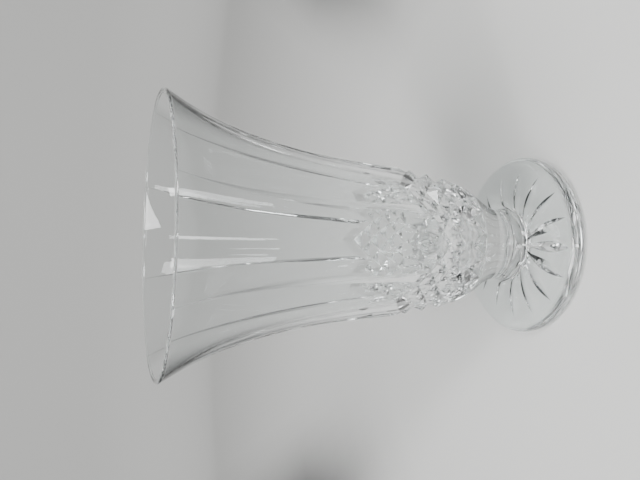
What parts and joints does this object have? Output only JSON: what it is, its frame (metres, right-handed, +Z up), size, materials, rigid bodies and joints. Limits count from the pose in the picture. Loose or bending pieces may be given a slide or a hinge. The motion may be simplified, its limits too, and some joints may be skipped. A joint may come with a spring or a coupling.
{
  "type": "flower vase",
  "caption": "Footed trumpet-shaped flower vase of clear cut glass, with tall panels, a band of raised diamonds and a star-cut round foot.",
  "frame": {"origin": "centre of the foot's underside, on the surface the vase stands on", "axes": "+Z up along the vase's axis, from the foot to the rim; +X through the middle of one panel and one ray of the star"},
  "size_m": [0.1666, 0.1666, 0.254],
  "materials": {
    "clear_glass": "polished"
  },
  "bodies": {
    "root": {"bowl": "clear_glass", "stem": "clear_glass", "foot": "clear_glass"}
  },
  "joints": []
}
